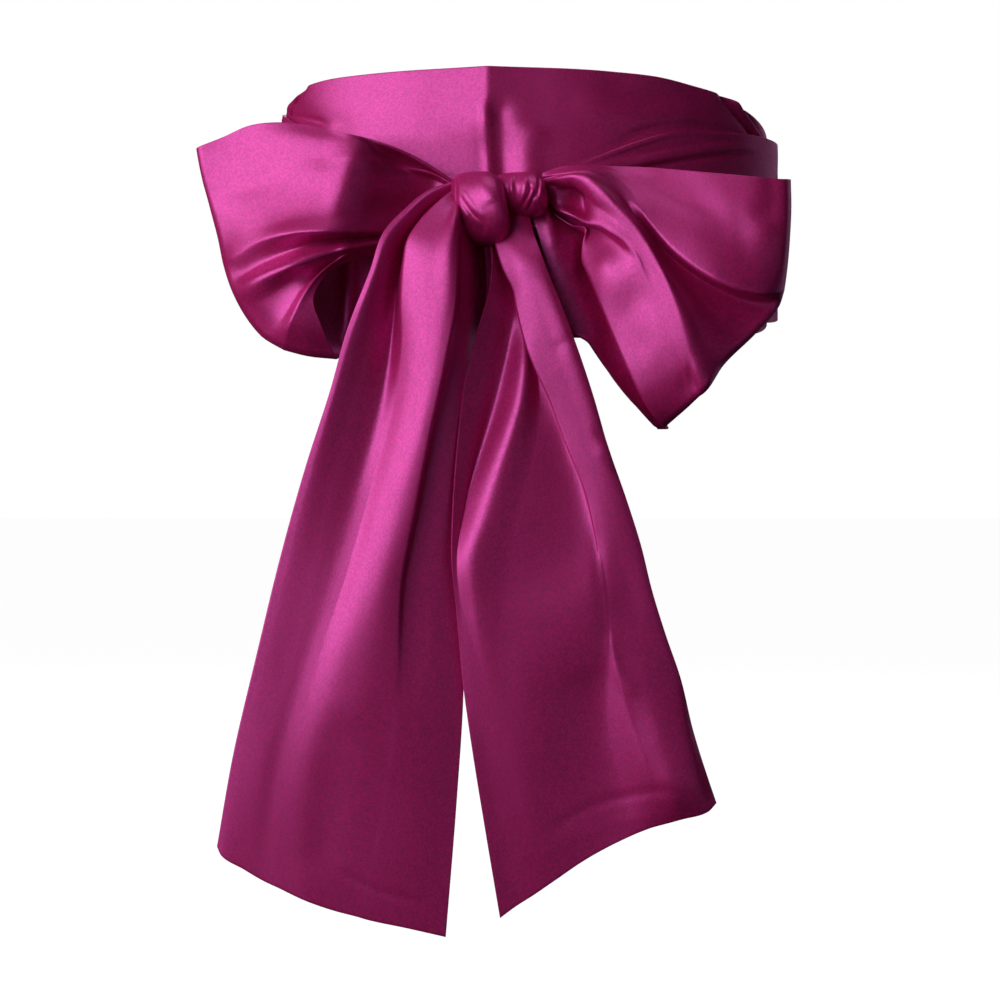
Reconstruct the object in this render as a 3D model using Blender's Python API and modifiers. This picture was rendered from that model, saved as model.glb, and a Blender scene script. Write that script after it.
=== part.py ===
"""Satin sash, wound round a waist and tied in a large bow at the front.

One long, wide strip of satin, turned into a double tube, passes across the front of the waist,
crosses at the back and comes round again to a knot at the front. The knot holds two loops and
two long tails with slanted ends. The waist's hollow is open above and below.

Sizes are in millimetres until the last step, +Z is up and the bow faces -Y. A sheet's "out" is
its distance in front of the waist's middle, so it is -y.
"""

import math
from bisect import bisect_right

import bpy
from mathutils import Vector

MM = 0.001
WALL = 1.6
SEAM = 0.4
LAYER = WALL + SEAM

WAIST_HALF_WIDTH = 146.0
WAIST_HALF_DEPTH = 100.0

CREASE_X = -23.0
CREASE_HEIGHT = 4.0
CREASE_REACH = 34.0
CREASE_FADE_Z = (26.0, 48.0)

# Upper and lower edge of the front turn, by the angle from the front towards the right side.
PANEL_EDGES = (
    # angle, top, bottom
    (-120, 62.0, -64.0),
    (-90, 71.0, -70.0),
    (-65, 75.5, -74.0),
    (-40, 76.5, -76.0),
    (0, 75.5, -76.0),
    (28, 73.5, -76.0),
    (40, 70.5, -75.0),
    (50, 67.5, -73.0),
    (60, 62.5, -71.0),
    (72, 57.0, -67.0),
    (90, 51.0, -59.0),
    (120, 52.0, -52.0),
)

# Each arm runs on from one end of the front turn, crosses the other at the back, gathered to
# less than half its width, and comes round outside the front turn to the knot. The angle is the
# travel from the front, and the lift is how many layers of cloth it lies above the first.
ARM_TO_LEFT_EDGES = (
    # angle travelled, top, bottom, lift
    (120, 52.0, -52.0, 0.0),
    (140, 27.0, -56.0, 0.0),
    (156, -0.8, -57.0, 0.0),
    (168, -0.8, -57.0, 0.0),
    (180, 28.0, -28.0, 0.0),
    (192, 57.0, 0.8, 0.0),
    (204, 57.0, 0.8, 1.0),
    (220, 59.0, -36.0, 1.0),
    (240, 64.0, -66.0, 1.0),
    (265, 70.0, -66.0, 1.0),
    (280, 63.0, -63.0, 1.0),
    (300, 48.0, -62.0, 1.0),
    (320, 36.0, -55.0, 1.0),
    (338, 20.0, -36.0, 1.0),
    (355, 9.0, -20.0, 1.0),
)
ARM_TO_RIGHT_EDGES = (
    (120, 62.0, -64.0, 0.0),
    (140, 30.0, -60.0, 0.0),
    (156, -0.8, -57.0, 0.0),
    (168, -0.8, -57.0, 2.3),
    (180, 28.0, -28.0, 2.5),
    (192, 57.0, 0.8, 2.3),
    (204, 57.0, 0.8, 1.0),
    (220, 57.0, -38.0, 1.0),
    (240, 54.0, -57.0, 2.0),
    (270, 52.0, -56.0, 3.5),
    (288, 55.0, -62.0, 2.4),
    (300, 60.0, -63.0, 1.2),
    (309, 47.0, -62.0, 1.0),
    (324, 43.0, -56.0, 1.0),
    (340, 29.0, -38.0, 1.0),
    (352, 15.0, -22.0, 1.0),
    (361, 9.0, -18.0, 1.0),
)
ARM_GATHERS = 4
CROSSING_GATHER_HEIGHT = 2.4
KNOT_GATHER_HEIGHT = 1.8
CROSSING_ANGLES = (155.0, 170.0, 190.0, 205.0)
KNOT_GATHER_ANGLES = (315.0, 345.0)
SEAM_ANGLE = 0.1

# The knot: two humps of one short, tight turn of cloth.
KNOT_OVER = {"x": -25.5, "out": 123.6, "z": -6.0, "half_x": 16.0, "half_y": 20.5, "half_z": 20.5}
KNOT_UNDER = {"x": -0.5, "out": 122.0, "z": -1.5, "half_x": 15.0, "half_y": 18.0, "half_z": 16.0}
KNOT_BLUNTNESS = 2.7
KNOT_SLANT = 0.16
KNOT_CLEARANCE = WALL / 2 + SEAM
OVER_FOLDS, OVER_FOLD_HEIGHT = 2, 0.03
UNDER_GATHERS, UNDER_GATHER_HEIGHT = 5, 0.09

# Each loop is a fan of folds from the knot to the outer bend. A row is a fold: its share of the
# cloth's width, where it passes six tenths of the way out, where it meets the bend, and how far
# out it stands at three tenths, six tenths, eight and a half tenths and the bend.
LOOP_STATIONS = (0.0, 0.3, 0.6, 0.85, 1.0)
LOOP_LEFT_FOLDS = (
    # name, share, mid x, mid z, end x, end z, out near, out mid, out far, out bend
    ("top edge", 0.00, -119, 39, -185, 29, 124, 128, 119, 104),
    ("upper swell", 0.18, -114, 23, -176, 0, 116, 148, 141, 106),
    ("middle swell", 0.34, -112, 0, -169, -26, 116, 152, 143, 107),
    ("upper ridge", 0.43, -109, -17, -167, -38, 126, 153, 140, 107),
    ("upper valley", 0.49, -107, -26, -165, -46, 119, 135, 129, 106),
    ("soft ridge", 0.57, -113, -35, -161, -57, 122, 143, 133, 106),
    ("lower valley", 0.68, -117, -45, -154, -69, 121, 135, 124, 105),
    ("sharp ridge", 0.82, -119, -53, -136, -84, 122, 140, 134, 104),
    ("lower edge", 1.00, -113, -59, -109, -89, 119, 127, 120, 103),
)
LOOP_RIGHT_FOLDS = (
    ("top edge", 0.00, 66, 13, 145, 11, 131, 126, 118, 105),
    ("upper swell", 0.16, 74, 0, 145, -16, 125, 143, 138, 108),
    ("full swell", 0.28, 79, -18, 143, -37, 124, 152, 148, 109),
    ("deep fold", 0.36, 83, -33, 140, -53, 124, 150, 143, 108),
    ("under fold", 0.42, 77, -38, 135, -61, 121, 130, 124, 106),
    ("dark slope", 0.55, 76, -46, 124, -74, 124, 137, 129, 106),
    ("long ridge", 0.74, 69, -56, 101, -100, 140, 153, 137, 106),
    ("lower slope", 0.87, 56, -67, 86, -117, 120, 140, 129, 105),
    ("lower edge", 1.00, 46, -74, 73, -127, 118, 130, 122, 103),
)
LOOP_MID = 0.6
LOOP_BACK_OUT = 110.0
LOOP_BEND_RADIUS = 3.5
# How far the back layer's lower edge swings from the front layer's, in x and z, halfway out.
LOOP_LEFT_BACK_SWING = (26.0, -13.0)
LOOP_RIGHT_BACK_SWING = (-13.0, -5.0)
LOOP_LEFT_ROOT = {"x": -37.0, "top": 7.0, "bottom": -15.0, "out": 119.0, "crowding": 1.0}
LOOP_RIGHT_ROOT = {"x": 11.0, "top": 10.0, "bottom": -12.0, "out": 119.0, "crowding": 1.3}

# A tail's two edges by the drop below the knot, then its folds at four places down its length:
# the share of the way from the left edge to the right one, and how far out it stands.
TAIL_LEFT_EDGES = (
    # z, left x, right x
    (-2, -53, -42.5),
    (-33, -81, -38),
    (-82, -100, -32),
    (-182, -130.5, -37),
    (-290, -157, -38),
    (-357, -171, -46),
)
TAIL_LEFT_FOLDS = (
    # name, share at root, upper, middle, end, out at root, upper, middle, end
    ("outer edge", 0.00, 0.00, 0.00, 0.00, 132, 143, 137, 131),
    ("turn", 0.20, 0.27, 0.16, 0.12, 132, 139, 135, 130),
    ("bright slope", 0.40, 0.50, 0.37, 0.28, 132, 148, 143, 134),
    ("crest", 0.65, 0.82, 0.70, 0.54, 132, 152, 150, 137),
    ("valley", 0.85, 0.92, 0.84, 0.76, 132, 137, 138, 133),
    ("inner edge", 1.00, 1.00, 1.00, 1.00, 132, 128, 130, 132),
)
TAIL_RIGHT_EDGES = (
    (-25.4, -20, -1),
    (-82, -35.4, 26),
    (-140, -41, 43),
    (-207, -40, 65),
    (-290, -27, 87.5),
    (-333, -17, 101),
)
TAIL_RIGHT_FOLDS = (
    ("inner edge", 0.00, 0.00, 0.00, 0.00, 125, 138, 144, 137),
    ("soft slope", 0.15, 0.16, 0.13, 0.14, 125, 136, 140, 134),
    ("ridge", 0.30, 0.38, 0.27, 0.30, 126, 137, 144, 136),
    ("valley", 0.44, 0.52, 0.50, 0.47, 125, 127, 134, 134),
    ("strip edge", 0.55, 0.57, 0.76, 0.66, 128, 141, 142, 137),
    ("strip middle", 0.77, 0.78, 0.88, 0.83, 130, 141, 141, 137),
    ("outer edge", 1.00, 1.00, 1.00, 1.00, 129, 138, 138, 133),
)
TAIL_STATIONS = (0.0, 0.16, 0.55, 1.0)
# The ends are cut on a slant: how much lower the inner edge reaches than the outer one, and how
# far the cut bows down near the outer corner.
BOW_SCALE = 27 / 4
TAIL_LEFT_END = {"outer_share": 0.0, "slant": 48.5, "bow": 9.5}
TAIL_RIGHT_END = {"outer_share": 1.0, "slant": 61.0, "bow": -4.5}

COLLECTION = "satin_sash"
CLOTH_COLOUR = (0.42, 0.022, 0.17, 1.0)
CLOTH_ROUGHNESS = 0.36


def row_slopes(places, values):
    """Slopes for a smooth curve through the rows that never swings past a row's own value."""
    steps = [(b - a) for a, b in zip(places, places[1:])]
    rises = [(b - a) / step for a, b, step in zip(values, values[1:], steps)]
    inner = [0.0 if a * b <= 0 else 2 * a * b / (a + b) for a, b in zip(rises, rises[1:])]
    return [rises[0]] + inner + [rises[-1]]


def read_rows(places, values, place):
    """The value at a place between rows, on a smooth curve through all of them."""
    place = min(max(place, places[0]), places[-1])
    row = min(bisect_right(places, place) - 1, len(places) - 2)
    step = places[row + 1] - places[row]
    share = (place - places[row]) / step
    rest = 1 - share
    slopes = row_slopes(places, values)
    before = values[row] * (1 + 2 * share) + slopes[row] * step * share
    after = values[row + 1] * (1 + 2 * rest) - slopes[row + 1] * step * rest
    return before * rest**2 + after * share**2


def smooth_step(low, high, value):
    share = min(max((value - low) / (high - low), 0.0), 1.0)
    return share * share * (3 - 2 * share)


def waist_point(angle, z, outward):
    """A point on the waist's oval, moved outward, at an angle in degrees from the front."""
    turn = math.radians(angle)
    side, front = math.sin(turn), math.cos(turn)
    return Vector(
        ((WAIST_HALF_WIDTH + outward) * side, -(WAIST_HALF_DEPTH + outward) * front, z)
    )


def crease_height(x, z):
    """The pressed crease down the middle of the front, a low roof that fades behind the knot."""
    roof = max(1 - abs(x - CREASE_X) / CREASE_REACH, 0.0) ** 2
    return CREASE_HEIGHT * roof * smooth_step(*CREASE_FADE_Z, z)


def read_columns(rows, place):
    """Every column's value at a place between the rows, whose first column is the place."""
    places = [row[0] for row in rows]
    columns = range(1, len(rows[0]))
    return [read_rows(places, [row[column] for row in rows], place) for column in columns]


def panel_point(across, along):
    start, end = PANEL_EDGES[0][0] + SEAM_ANGLE, PANEL_EDGES[-1][0] - SEAM_ANGLE
    angle = start + (end - start) * along
    top, bottom = read_columns(PANEL_EDGES, angle)
    z = top + (bottom - top) * across
    point = waist_point(angle, z, 0.0)
    point.y -= crease_height(point.x, z) if point.y < 0 else 0.0
    return point


def arm_point(rows, side, across, along):
    """Round the back from one end of the front turn, over it and on to the knot."""
    start, end = rows[0][0] + SEAM_ANGLE, rows[-1][0]
    angle = start + (end - start) * along
    top, bottom, lift = read_columns(rows, angle)
    z = top + (bottom - top) * across
    enter, full, leave, flat = CROSSING_ANGLES
    height = CROSSING_GATHER_HEIGHT * smooth_step(enter, full, angle)
    height *= 1 - smooth_step(leave, flat, angle)
    height += KNOT_GATHER_HEIGHT * smooth_step(*KNOT_GATHER_ANGLES, angle)
    gathers = height * math.sin(math.pi * ARM_GATHERS * across) ** 2
    return waist_point(side * angle, z, lift * LAYER + gathers)


def outside_hump(point, hump, clearance):
    """The point itself, or where the hump's surface pushes it to if it would lie within it."""
    offset = Vector((point.x - hump["x"], point.y + hump["out"], point.z - hump["z"]))
    offset.x += KNOT_SLANT * offset.z
    sizes = (hump["half_x"] + clearance, hump["half_y"] + clearance, hump["half_z"] + clearance)
    power = KNOT_BLUNTNESS
    radial = math.hypot(offset.y / sizes[1], offset.z / sizes[2])
    level = (abs(offset.x / sizes[0]) ** power + radial**power) ** (1 / power)
    if level >= 1:
        return point
    moved = offset / max(level, 1e-6)
    moved.x -= KNOT_SLANT * moved.z
    return Vector((moved.x + hump["x"], moved.y - hump["out"], moved.z + hump["z"]))


def clear_of_knot(point):
    for hump in (KNOT_OVER, KNOT_UNDER):
        point = outside_hump(point, hump, KNOT_CLEARANCE)
    return point


def loop_point(rows, root, swing, across, along):
    """Out along the front layer, round the outer bend and back along the layer behind."""
    shares = [row[1] for row in rows]
    mid_x, mid_z, end_x, end_z, *outs = [
        read_rows(shares, [row[column] for row in rows], across) for column in range(2, 10)
    ]
    turn = math.pi * along
    reach = math.sin(turn)
    behind = along > 0.5
    if behind:
        mid_x += swing[0] * across**3
        mid_z += swing[1] * across**3
    root_z = root["top"] + (root["bottom"] - root["top"]) * across ** root["crowding"]
    places = (0.0, LOOP_MID, 1.0)
    x = through_three(places, (root["x"], mid_x, end_x), reach)
    z = through_three(places, (root_z, mid_z, end_z), reach)
    bend_out = outs.pop()
    if behind:
        back_of_bend = bend_out - LOOP_BEND_RADIUS
        layer_out = LOOP_BACK_OUT + (back_of_bend - LOOP_BACK_OUT) * reach**4
    else:
        outs_along = (root["out"], *outs, bend_out + LOOP_BEND_RADIUS)
        layer_out = read_rows(LOOP_STATIONS, outs_along, reach)
    from_bend = math.hypot(x - end_x, z - end_z)
    inward = max(1 - from_bend / LOOP_BEND_RADIUS, 0.0)
    out = bend_out + (layer_out - bend_out) * math.sqrt(1 - inward**2)
    return clear_of_knot(Vector((x, -out, z)))


def through_three(places, values, place):
    """The parabola through three values."""
    total = 0.0
    for index, value in enumerate(values):
        others = [places[k] for k in range(3) if k != index]
        weight = (place - others[0]) * (place - others[1])
        total += value * weight / ((places[index] - others[0]) * (places[index] - others[1]))
    return total


def end_drop(end, share):
    """How far below the outer corner the slanted end is, at a share of the width."""
    inward = abs(share - end["outer_share"])
    bow_shape = BOW_SCALE * inward * (1 - inward) ** 2
    return end["slant"] * inward + end["bow"] * bow_shape


def tail_point(edges, folds, end, across, along):
    """Down the tail: the folds fan out from the knot, and the end is cut on a slant."""
    marks = [index / (len(folds) - 1) for index in range(len(folds))]
    shares = [read_rows(TAIL_STATIONS, row[1:5], along) for row in folds]
    outs = [read_rows(TAIL_STATIONS, row[5:9], along) for row in folds]
    share = read_rows(marks, shares, across)
    out = read_rows(marks, outs, across)
    drops = [-row[0] for row in edges]
    drop = drops[0] + (drops[-1] - drops[0]) * along
    left = read_rows(drops, [row[1] for row in edges], drop)
    right = read_rows(drops, [row[2] for row in edges], drop)
    lowered = end_drop(end, min(max(share, 0.0), 1.0)) * along**2
    return Vector((left + (right - left) * share, -out, -drop - lowered))


def tail_left_point(across, along):
    point = tail_point(TAIL_LEFT_EDGES, TAIL_LEFT_FOLDS, TAIL_LEFT_END, across, along)
    return clear_of_knot(point)


def tail_right_point(across, along):
    point = tail_point(TAIL_RIGHT_EDGES, TAIL_RIGHT_FOLDS, TAIL_RIGHT_END, across, along)
    return clear_of_knot(point)


def cloth_material(name):
    material = bpy.data.materials.new(name)
    material.use_nodes = True
    shader = material.node_tree.nodes["Principled BSDF"]
    shader.inputs["Base Color"].default_value = CLOTH_COLOUR
    shader.inputs["Roughness"].default_value = CLOTH_ROUGHNESS
    shader.inputs["Metallic"].default_value = 0.0
    return material


def finish(obj, name, collection):
    obj.name = name
    obj.data.name = name
    obj.data.materials.append(cloth_material(name + "_satin"))
    for holder in list(obj.users_collection):
        holder.objects.unlink(obj)
    collection.objects.link(obj)
    for face in obj.data.polygons:
        face.use_smooth = True


def add_sheet(name, point, across_steps, along_steps, collection):
    """A grid whose vertices are moved onto the cloth's form, given the cloth's thickness."""
    bpy.ops.mesh.primitive_grid_add(
        x_subdivisions=across_steps, y_subdivisions=along_steps, size=2
    )
    obj = bpy.context.object
    for vertex in obj.data.vertices:
        across, along = (vertex.co.x + 1) / 2, (vertex.co.y + 1) / 2
        vertex.co = point(across, along) * MM
    thickness = obj.modifiers.new("Cloth thickness", "SOLIDIFY")
    thickness.thickness = WALL * MM
    thickness.offset = 0.0
    finish(obj, name, collection)
    return obj


def hump_point(hump, direction, folds):
    """A blunt, rounded hump whose folds run round it, leaning with the knot's slant."""
    power = KNOT_BLUNTNESS
    radial = math.hypot(direction.y, direction.z)
    level = (abs(direction.x) ** power + radial**power) ** (1 / power)
    unit = direction / level
    swell = 1 - folds(unit)
    x = hump["half_x"] * unit.x
    y = hump["half_y"] * unit.y * swell
    z = hump["half_z"] * unit.z * swell
    return Vector((hump["x"] + x - KNOT_SLANT * z, y - hump["out"], hump["z"] + z))


def over_folds(unit):
    slanted = unit.x - 0.5 * unit.z
    return OVER_FOLD_HEIGHT * (0.5 + 0.5 * math.cos(2 * math.pi * OVER_FOLDS * slanted))


def under_gathers(unit):
    return UNDER_GATHER_HEIGHT * (0.5 - 0.5 * math.cos(math.pi * UNDER_GATHERS * (unit.x + 1)))


def add_hump(name, hump, folds, collection, neighbour=None):
    bpy.ops.mesh.primitive_uv_sphere_add(
        segments=24, ring_count=20, radius=1, rotation=(0, math.pi / 2, 0)
    )
    obj = bpy.context.object
    bpy.ops.object.transform_apply(location=False, rotation=True, scale=False)
    for vertex in obj.data.vertices:
        point = hump_point(hump, vertex.co.normalized(), folds)
        if neighbour:
            point = outside_hump(point, neighbour, SEAM)
        vertex.co = point * MM
    finish(obj, name, collection)
    return obj


def arm_to_left_point(across, along):
    return arm_point(ARM_TO_LEFT_EDGES, 1, across, along)


def arm_to_right_point(across, along):
    return arm_point(ARM_TO_RIGHT_EDGES, -1, across, along)


def loop_left_point(across, along):
    return loop_point(LOOP_LEFT_FOLDS, LOOP_LEFT_ROOT, LOOP_LEFT_BACK_SWING, across, along)


def loop_right_point(across, along):
    return loop_point(LOOP_RIGHT_FOLDS, LOOP_RIGHT_ROOT, LOOP_RIGHT_BACK_SWING, across, along)


def clear_scene():
    for obj in list(bpy.data.objects):
        bpy.data.objects.remove(obj)


def build_sash():
    collection = bpy.data.collections.new(COLLECTION)
    bpy.context.scene.collection.children.link(collection)
    add_sheet("front_panel", panel_point, 6, 60, collection)
    add_sheet("wrap_left", arm_to_left_point, 12, 44, collection)
    add_sheet("wrap_right", arm_to_right_point, 12, 46, collection)
    add_hump("knot_over", KNOT_OVER, over_folds, collection)
    add_hump("knot_under", KNOT_UNDER, under_gathers, collection, neighbour=KNOT_OVER)
    add_sheet("loop_left", loop_left_point, 24, 28, collection)
    add_sheet("loop_right", loop_right_point, 24, 28, collection)
    add_sheet("tail_left", tail_left_point, 18, 20, collection)
    add_sheet("tail_right", tail_right_point, 20, 20, collection)


def main():
    clear_scene()
    build_sash()


main()
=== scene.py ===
"""Satin sash tied in a large bow: the finished cloth, its satin, the studio stage and the camera.

The cloth is modelled in millimetres, +Z up, with the bow facing -Y. A sheet's "out" is its
distance in front of the waist's middle, so it is -y.
"""

import math

import bpy
import numpy as np
from mathutils import Matrix, Vector


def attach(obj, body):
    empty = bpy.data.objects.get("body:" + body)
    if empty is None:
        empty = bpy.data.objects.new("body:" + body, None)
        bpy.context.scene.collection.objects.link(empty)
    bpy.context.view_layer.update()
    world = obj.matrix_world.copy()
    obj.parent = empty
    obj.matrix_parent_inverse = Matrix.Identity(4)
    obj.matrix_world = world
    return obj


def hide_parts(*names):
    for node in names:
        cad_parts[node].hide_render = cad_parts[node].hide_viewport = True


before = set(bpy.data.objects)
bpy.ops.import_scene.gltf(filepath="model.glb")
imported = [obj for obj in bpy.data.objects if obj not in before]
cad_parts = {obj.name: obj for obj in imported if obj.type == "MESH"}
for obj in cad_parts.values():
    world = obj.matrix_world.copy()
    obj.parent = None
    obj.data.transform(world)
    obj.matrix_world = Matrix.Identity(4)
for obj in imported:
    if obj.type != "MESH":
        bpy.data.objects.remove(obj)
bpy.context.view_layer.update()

bl_info = {
    "name": "Satin sash",
    "version": (1, 0, 0),
    "blender": (4, 5, 0),
    "location": "3D View > Sidebar > Sash",
    "description": "A wide satin sash wound round a waist and tied in a large bow",
    "category": "Add Mesh",
}

MM = 0.001

WAIST_HALF_WIDTH = 146.0
WAIST_HALF_DEPTH = 100.0
# From one layer of the band to the next one out.
LAYER = 2.0


# ---- the folds of the loops and tails ---------------------------------------------------

# The camera's place in millimetres, and how much more of the scene each thousandth of its view
# shows with each millimetre away from it.
CAMERA_X = -16.0
CAMERA_OUT = 1195.0
CAMERA_Z = -167.0
VIEW_STEP = 5.118e-4
VIEW_MIDDLE = 500

# Each fold is a name, its sharpness and its points, from the knot on: across and down in
# thousandths of the camera's view, and how far out from the waist's middle, in millimetres.
LOOP_LEFT_FOLDS = (
    ("top edge", 1, (
        (462, 188, 119), (432, 167, 123), (403, 152, 126), (374, 141.5, 132), (354, 136, 138),
        (320, 128, 130.5), (278, 122.5, 123), (250, 126, 117), (222, 138, 110), (197, 149, 104),
    )),
    ("upper band", 0, (
        (462, 189, 119), (430, 171, 115), (400, 159, 116), (378, 152, 127), (360, 147.5, 139.5),
        (320, 139.5, 134), (280, 137, 126), (234, 147, 113.5), (200, 163, 105),
    )),
    ("thin line", 0.6, (
        (462, 190, 119), (432, 173, 119), (396, 166, 121), (380, 161.5, 130), (368, 159.5, 138.5),
        (356, 158.5, 142), (320, 159, 136), (275, 163, 126), (226, 176, 113), (204, 184, 105),
    )),
    ("hollow roof", 0.1, (
        (462, 191, 119), (434, 179, 110.5), (408, 174.5, 118), (386, 171, 128), (368, 168.5, 138),
        (350, 168.5, 142.5), (324, 171.5, 139), (290, 176, 130.5), (240, 188, 116.5),
        (208, 196, 105),
    )),
    ("hollow", 0, (
        (462, 192, 119), (434, 190, 110), (408, 189.5, 117), (384, 188.5, 128), (364, 189, 138),
        (343, 190.5, 143.5), (318, 193, 139.5), (290, 195.5, 133), (247, 203, 121), (212, 212, 106),
    )),
    ("bulge", 0, (
        (462, 195, 119), (434, 204, 110), (406, 209, 117), (379, 211.5, 128), (356, 213.5, 139),
        (334, 215, 144.5), (312, 217, 142.5), (284, 220, 136.5), (250, 229, 126), (219, 240, 106),
    )),
    ("upper lip", 0.6, (
        (462, 199, 119), (430, 218, 116), (395, 230, 124), (365, 231, 137), (332, 231, 148),
        (294, 233, 145), (256, 243, 132), (234, 257, 120), (224, 262, 106),
    )),
    ("under the lip", 0.1, (
        (462, 201, 119), (430, 222, 115), (395, 235, 119), (365, 238, 126), (330, 241, 133),
        (298, 248, 137), (266, 261, 130), (241, 275, 120), (229, 280, 110),
    )),
    ("soft ridge", 0, (
        (462, 203, 119), (425, 230, 118), (385, 241, 127), (352, 248, 138), (322, 255, 143.5),
        (290, 267, 146.5), (257, 281, 138), (234, 294, 114),
    )),
    ("second trough", 0, (
        (462, 204, 119), (422, 234, 118), (382, 245, 126), (349, 252, 135), (320, 262, 140.5),
        (292, 281, 139.5), (264, 301, 133), (243, 311, 115),
    )),
    ("foot of the sharp ridge", 0.2, (
        (462, 206, 119), (415, 238, 118), (378, 248, 121), (350, 256, 128), (323, 272, 134),
        (302, 290, 140), (284, 316, 137), (262, 336, 119),
    )),
    ("sharp ridge", 0.8, (
        (462, 208, 119), (410, 240, 119), (372, 249, 125), (346, 255, 134), (320, 274, 142),
        (304, 294, 146), (292, 320, 144), (284, 349, 126),
    )),
    ("inner face", 0, (
        (462, 210, 119), (405, 245, 119), (369, 252, 123), (343, 260, 132), (319, 277, 141),
        (308, 298, 145), (306, 325, 143), (309, 355.5, 128),
    )),
    ("lower edge", 1, (
        (462, 212, 119), (400, 252, 118), (366, 256, 122), (340, 264, 130), (321, 280, 140),
        (313, 300, 144.3), (321, 325, 142), (336, 358, 127),
    )),
)
LOOP_RIGHT_FOLDS = (
    ("top edge", 1, (
        (543, 173, 121), (560, 168, 122), (580, 166, 121), (607, 167, 119), (640, 168, 122),
        (673, 170, 130), (723, 174, 139.5), (765, 178, 143), (785, 179.5, 141.5), (790, 180, 133),
    )),
    ("upper slope", 0, (
        (543, 174, 122), (561, 169.5, 124), (582, 167.5, 124), (609, 169, 121), (645, 177, 127),
        (690, 187, 136.5), (730, 196, 144.5), (768, 204, 147.5), (786, 206, 145), (790, 206, 135),
    )),
    ("broad swell", 0, (
        (543, 175, 122), (562, 171, 126), (584, 169, 127), (612, 172, 123.5), (650, 190, 131),
        (696, 208, 141.5), (736, 224, 149), (770, 233, 151.5), (785, 236, 148), (789, 236, 137),
    )),
    ("crest", 0, (
        (543, 176, 122), (563, 172, 128), (586, 171, 130), (616, 178, 126), (655, 205, 137),
        (702, 234, 149), (740, 256, 152.5), (768, 266, 151), (782, 268, 146), (786, 268, 134),
    )),
    ("deep fold lip", 0.8, (
        (543, 177, 122), (565, 173, 130), (588, 172, 132), (612, 181, 129), (627, 193, 132),
        (640, 209, 137), (653, 226, 142), (667, 243, 147), (693, 266, 153), (720, 282, 156.5),
        (747, 291, 155.5), (767, 294, 151), (779, 292, 144), (783, 290, 133),
    )),
    ("under the deep fold", 0.1, (
        (543, 178, 121), (566, 174, 130), (588, 174, 133), (608, 184, 133), (622, 198, 134),
        (635, 214, 135), (649, 231, 135), (662, 249, 136), (688, 272, 137), (714, 288, 137),
        (744, 299, 136), (779, 303, 132),
    )),
    ("dark slope", 0, (
        (543, 179, 121), (567, 175, 131), (588, 176, 136), (605, 187, 139), (619, 200, 140),
        (632, 217, 141), (645, 234, 141), (658, 253, 141.5), (680, 278, 143), (700, 298, 144.5),
        (719, 316, 144), (741, 327, 142), (757, 331, 137),
    )),
    ("slope foot", 0, (
        (543, 180.5, 121), (567, 175.5, 132), (587, 177, 140), (602, 187, 143.5), (616, 201, 145),
        (629, 218, 146), (641, 237, 147), (654, 257, 148), (675, 284, 151), (690, 309, 153),
        (702, 333, 153), (713, 351, 151), (723, 364, 144),
    )),
    ("long ridge", 0, (
        (543, 182, 122), (561, 177, 132), (573, 175.5, 138), (586, 178, 143), (600, 188, 146),
        (614, 203, 148), (630, 219, 149.5), (643, 237, 151), (655, 257, 153), (668, 285, 155.5),
        (679, 314, 157), (687, 344, 157), (694, 370, 155.5), (702, 393, 150),
    )),
    ("arch edge", 0, (
        (543, 185, 121), (556, 186, 124), (564, 184, 130), (573, 183, 135), (581, 186, 139),
        (588, 192.5, 141), (597, 200, 143.5),
    )),
    ("pocket roof", 0, (
        (543, 187, 119), (557, 188, 124), (566, 188, 124), (575, 189, 122), (582, 193, 121),
        (590, 203, 137),
    )),
    ("pocket floor", 0, (
        (543, 190, 119), (556, 195, 123), (565, 202, 123), (575, 208, 122), (583, 212, 122),
        (591, 217, 137),
    )),
    ("lit lip", 0.2, (
        (543, 193, 117), (553, 205, 121), (561, 211, 127), (573, 216, 131), (586, 222, 136),
        (600, 226.5, 141), (612, 233, 144.5), (624, 241.5, 147), (634, 252, 148.8),
    )),
    ("tuck", 0, (
        (543, 195, 114), (553, 206, 112), (561, 213, 111), (573, 218, 112), (586, 225, 119),
        (599, 230, 128), (611, 237, 136), (621, 246, 142), (629, 258, 146.5),
    )),
    ("lower face", 0, (
        (543, 197, 115), (551, 214, 113), (559, 220, 113), (573, 227, 115), (587, 233, 122),
        (594, 241, 128), (599, 252, 134), (604, 266, 140),
    )),
    ("face corner", 0.8, (
        (543, 199, 116), (556, 215, 116), (572, 225, 118), (586, 229, 125), (583, 244, 126),
        (582, 260, 128), (589, 276, 133), (602, 306, 137), (616, 340, 139), (630, 372, 141.5),
        (643, 398, 141), (655, 417, 137), (664, 427, 128),
    )),
    ("behind the corner", 0.2, (
        (543, 200, 116), (558, 216, 114), (575, 227, 113), (588, 233, 113), (586, 246, 113),
        (585, 260, 114), (592, 278, 117), (605, 307, 120), (618, 341, 122), (631, 373, 123),
        (644, 399, 120), (655, 419, 113), (663, 428, 106),
    )),
    ("rear ridge", 0, (
        (543, 201, 117), (551, 223, 123), (558, 243, 126), (567, 268, 127), (575, 295, 127.5),
        (588, 322, 127.5), (602, 352, 127), (619, 380, 127), (639, 408, 121), (660, 428.5, 106),
    )),
    ("lower edge", 1, (
        (543, 202, 117), (533, 216, 121), (537, 232, 124), (546, 262, 126.5), (556, 300, 128),
        (573, 333, 129), (587, 341, 131), (601, 360, 130.5), (615, 380, 129), (631, 400, 125),
        (643, 412, 119), (658, 428.5, 105),
    )),
)
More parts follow.
